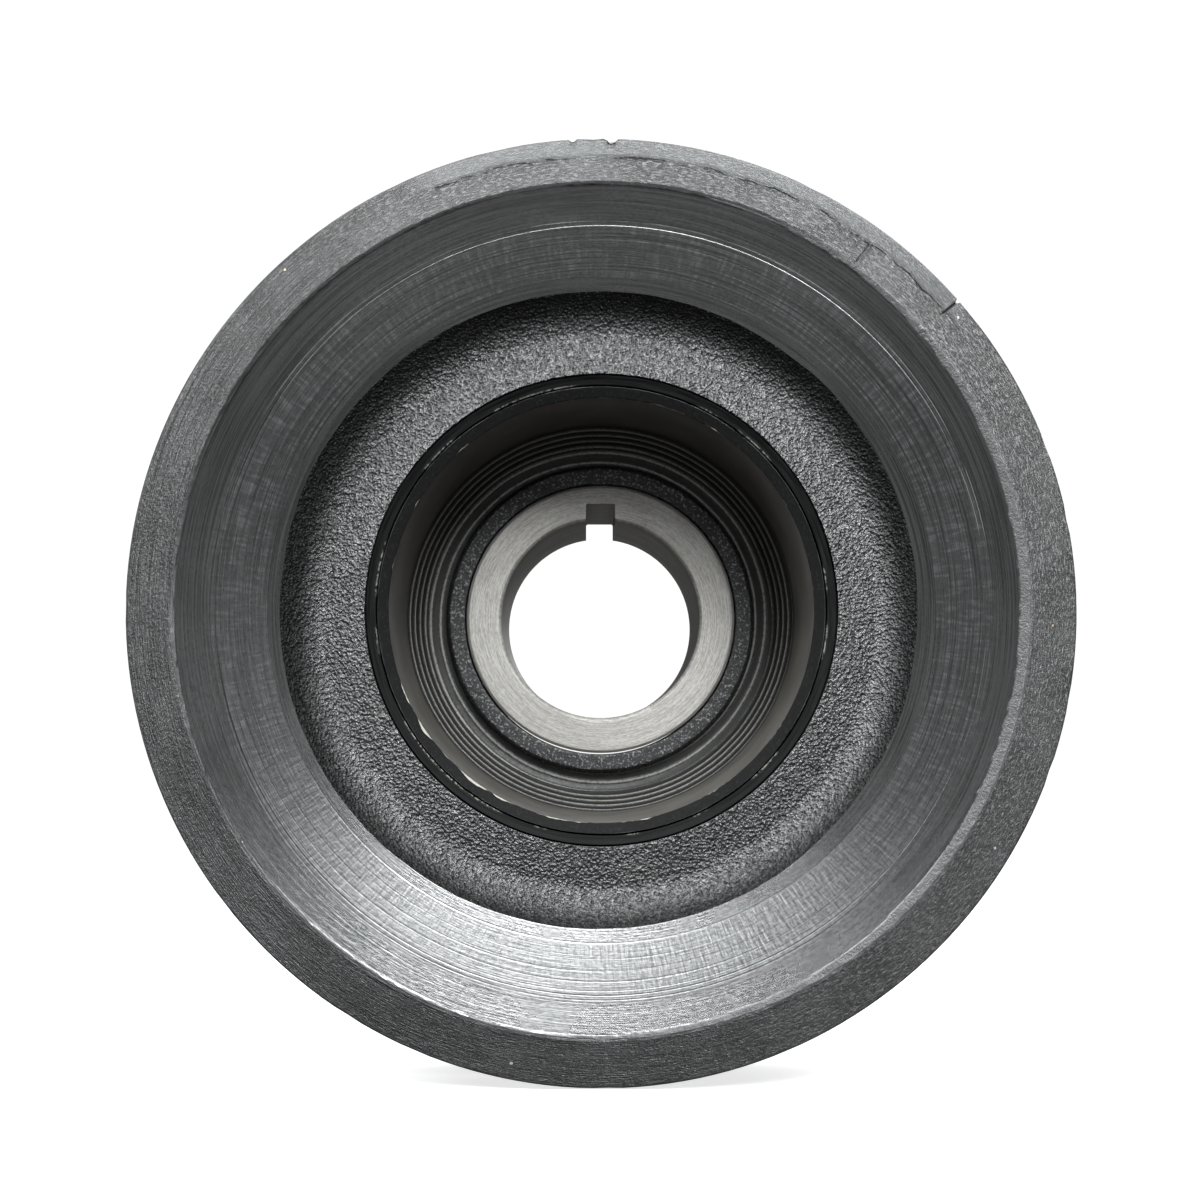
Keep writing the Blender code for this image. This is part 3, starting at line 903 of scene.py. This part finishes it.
def rear_turned():
    made = Finish("rear_turned_paint", (0.05, 0.05, 0.05), 0.4)
    made.turning(0.3)
    lines = made.noise(made.stretched(2.5, 3000), 1.0, 3, 0.65)
    grain = made.noise(made.place, 1800, 3, 0.6)
    made.set("Base Color", made.mix(made.ramp(lines, 0.35, 0.65), (0.03, 0.03, 0.031), (0.075, 0.076, 0.077)))
    made.set("Roughness", made.ramp(grain, 0.3, 0.7, 0.46, 0.3))
    normal = made.bump(lines, 0.07 * MM)
    made.set("Normal", made.bump(grain, 0.05 * MM, normal))
    return made.material


def rubber_finish():
    made = Finish("rubber_black", (0.01, 0.01, 0.01), 0.5, 0.0, 0.05)
    torn_edge, _ = made.marks()
    lines = made.noise(made.stretched(6, 5200), 1.0, 3, 0.6)
    specks = made.noise(made.place, 1600, 3, 0.7)
    torn = made.maths("MULTIPLY", torn_edge, made.ramp(specks, 0.45, 0.55))
    colour = made.mix(made.ramp(lines, 0.3, 0.7), (0.003, 0.003, 0.003), (0.009, 0.009, 0.009))
    made.set("Base Color", made.mix(torn, colour, (0.2, 0.195, 0.18)))
    made.set("Roughness", made.ramp(lines, 0.3, 0.7, 0.5, 0.65))
    normal = made.bump(lines, 0.05 * MM)
    made.set("Normal", made.bump(specks, 0.03 * MM, normal))
    return made.material


def cup_finish():
    made = Finish("cup_turned_iron", (0.05, 0.048, 0.044), 0.45, 0.0, 0.3)
    mask, crest = made.marks()
    mouth = made.ramp(made.y, CUP_MOUTH_Y + 0.1 * MM, CUP_MOUTH_Y + 0.3 * MM, 1, 0)
    grain = made.noise(made.place, 2400, 3, 0.6)
    cloud = made.noise(made.place, 140, 4)
    lines = made.noise(made.stretched(3, 5000), 1.0, 3, 0.6)
    wall = made.ramp(made.y, HUB_FACE_Y - 6 * MM, HUB_FACE_Y - 4 * MM, 1, 0)
    floor_colour = made.mix(made.ramp(grain, 0.4, 0.65), (0.024, 0.024, 0.022), (0.055, 0.055, 0.052))
    # Painted shade between the spiral's crests and a painted highlight along them, where the turned steps catch
    # light
    floor_colour = made.mix(made.ramp(crest, 0.3, -0.5), floor_colour, (0.014, 0.0138, 0.013))
    ridge = made.maths("MULTIPLY", made.ramp(crest, 0.6, 0.95), made.ramp(grain, 0.3, 0.5, 0.4, 1.0))
    floor_colour = made.mix(ridge, floor_colour, (0.19, 0.187, 0.175))
    wall_colour = made.mix(made.ramp(cloud, 0.35, 0.65), (0.05, 0.048, 0.043), (0.068, 0.064, 0.057))
    colour = made.mix(wall, floor_colour, wall_colour)
    raw = made.mix(made.ramp(grain, 0.52, 0.68), (0.022, 0.022, 0.022), (0.17, 0.172, 0.175))
    colour = made.mix(mask, colour, raw)
    paint = made.mix(made.ramp(grain, 0.5, 0.75), (0.006, 0.006, 0.006), (0.014, 0.014, 0.014))
    bare = made.ramp(made.maths("ADD", mask, made.maths("MULTIPLY", grain, 0.3)), 0.6, 0.72)
    made.set("Base Color", made.mix(mouth, colour, made.mix(bare, paint, (0.3, 0.285, 0.25))))
    made.set("Roughness", made.blend(wall, made.ramp(grain, 0.3, 0.7, 0.5, 0.38), 0.55))
    made.set("Specular IOR Level", made.blend(mouth, 0.3, 0.05))
    normal = made.bump(lines, 0.03 * MM)
    made.set("Normal", made.bump(grain, 0.05 * MM, normal))
    return made.material


def sleeve_steel():
    made = Finish("sleeve_ground_steel", (0.4, 0.39, 0.37), 0.5, 0.35)
    made.turning(0.3)
    lines = made.noise(made.stretched(4, 4600), 1.0, 3, 0.65)
    streaks = made.noise(made.stretched(26, 6000), 1.0, 3, 0.65)
    grain = made.noise(made.place, 4200, 2, 0.6)
    cloud = made.noise(made.place, 160, 3)
    face = made.ramp(made.y, HUB_FACE_Y + 0.2 * MM, HUB_FACE_Y + 0.6 * MM, 1, 0)
    rear_end = made.ramp(made.y, SLEEVE_END_Y - 0.4 * MM, SLEEVE_END_Y - 0.1 * MM)
    outside = made.ramp(made.radius, SLEEVE_RADIUS - 1.2 * MM, SLEEVE_RADIUS - 0.9 * MM)
    ground = made.maths("MAXIMUM", face, made.maths("MAXIMUM", rear_end, outside))
    marks = made.maths("ADD", made.maths("MULTIPLY", lines, 0.5), made.maths("MULTIPLY", streaks, 0.5))
    colour = made.mix(made.ramp(marks, 0.36, 0.64), (0.235, 0.226, 0.21), (0.415, 0.405, 0.38))
    colour = made.mix(made.ramp(grain, 0.6, 0.8, 0, 0.4), colour, (0.2, 0.185, 0.165))
    bore = made.mix(made.ramp(cloud, 0.3, 0.7), (0.1, 0.095, 0.088), (0.15, 0.142, 0.13))
    made.set("Base Color", made.mix(ground, bore, colour))
    made.set("Roughness", made.ramp(marks, 0.3, 0.7, 0.6, 0.44))
    normal = made.bump(marks, 0.03 * MM)
    made.set("Normal", made.bump(grain, 0.012 * MM, normal))
    return made.material


def studio_floor():
    half = 4.0
    z = CAD_BOUNDS[0][2] - 0.2 * MM
    mesh = bpy.data.meshes.new("studio_floor")
    corners = [(-half, -half, z), (half, -half, z), (half, half, z), (-half, half, z)]
    mesh.from_pydata(corners, [], [[0, 1, 2, 3]])
    paper = Finish("floor_white", (0.7, 0.7, 0.7), 0.9)
    away = paper.ramp(paper.vector("LENGTH", paper.vector("MULTIPLY", paper.place, (1, 1, 0))), 0.12, 0.5)
    paper.set("Base Color", paper.mix(away, (0.7, 0.7, 0.7), (0.1, 0.1, 0.1)))
    # Painted light: the floor glows, weaker near the part so that shade shows there, and evenly white further off
    paper.set("Emission Color", (1.0, 1.0, 1.0, 1.0))
    paper.set("Emission Strength", paper.blend(away, 0.75, 1.02))
    mesh.materials.append(paper.material)
    floor = bpy.data.objects.new("studio_floor", mesh)
    floor.visible_glossy = False
    floor.visible_diffuse = False
    bpy.context.scene.collection.objects.link(floor)


def area_light(name, place, target, size, power):
    light = bpy.data.lights.new(name, "AREA")
    light.shape = "RECTANGLE"
    light.size, light.size_y = size
    light.energy = power
    light.color = SOFTBOX_COLOUR
    lamp = bpy.data.objects.new(name, light)
    lamp.location = place
    lamp.rotation_euler = (Vector(target) - Vector(place)).to_track_quat("-Z", "Y").to_euler()
    bpy.context.scene.collection.objects.link(lamp)
    return lamp


def studio_light():
    area_light("key_softbox", (0.18, -0.78, 0.62), (0, -0.04, 0), (0.56, 0.55), 21)
    area_light("left_softbox", (-0.66, -0.42, 0.66), (0, -0.04, 0), (0.6, 0.6), 12)
    area_light("top_softbox", (-0.22, -0.35, 1.0), (0, -0.04, 0), (0.8, 0.5), 5)
    fill = area_light("low_fill", (0, -0.8, -0.2), (0, 0, 0.01), (0.5, 0.3), 2.2)
    fill.visible_glossy = False
    area_light("rear_softbox", (0.42, 0.8, 0.6), (0, -0.03, 0), (1.0, 0.9), 10)
    world = bpy.data.worlds.new("studio_white")
    world.use_nodes = True
    tree = world.node_tree
    background = tree.nodes["Background"]
    seen = tree.nodes.new("ShaderNodeLightPath")
    strength = tree.nodes.new("ShaderNodeMapRange")
    tree.links.new(seen.outputs["Is Camera Ray"], strength.inputs[0])
    strength.inputs[3].default_value = 0.2
    strength.inputs[4].default_value = 1.05
    tree.links.new(strength.outputs[0], background.inputs["Strength"])
    background.inputs["Color"].default_value = (1, 1, 1, 1)
    bpy.context.scene.world = world


SOFTBOX_COLOUR = (0.96, 0.985, 1.0)
CAMERA_PLACE = (-2.14 * MM, -432.14 * MM, -20.6 * MM)
CAMERA_PITCH = math.radians(3.315)
CAMERA_YAW = math.radians(0.286)
CAMERA_LENS = 72.0


def studio_camera():
    camera = bpy.data.cameras.new("studio_camera")
    camera.lens = CAMERA_LENS
    camera.sensor_width = 36.0
    camera.clip_start = 0.01
    holder = bpy.data.objects.new("studio_camera", camera)
    holder.location = CAMERA_PLACE
    level = math.cos(CAMERA_PITCH)
    forward = Vector((math.sin(CAMERA_YAW) * level, math.cos(CAMERA_YAW) * level, math.sin(CAMERA_PITCH)))
    holder.rotation_euler = forward.to_track_quat("-Z", "Y").to_euler()
    bpy.context.scene.collection.objects.link(holder)
    bpy.context.scene.camera = holder
    bpy.context.scene.view_settings.view_transform = "Standard"


studio_camera()
pulley_ring()
damper_rubber()
hub()
hub_sleeve()
studio_floor()
studio_light()
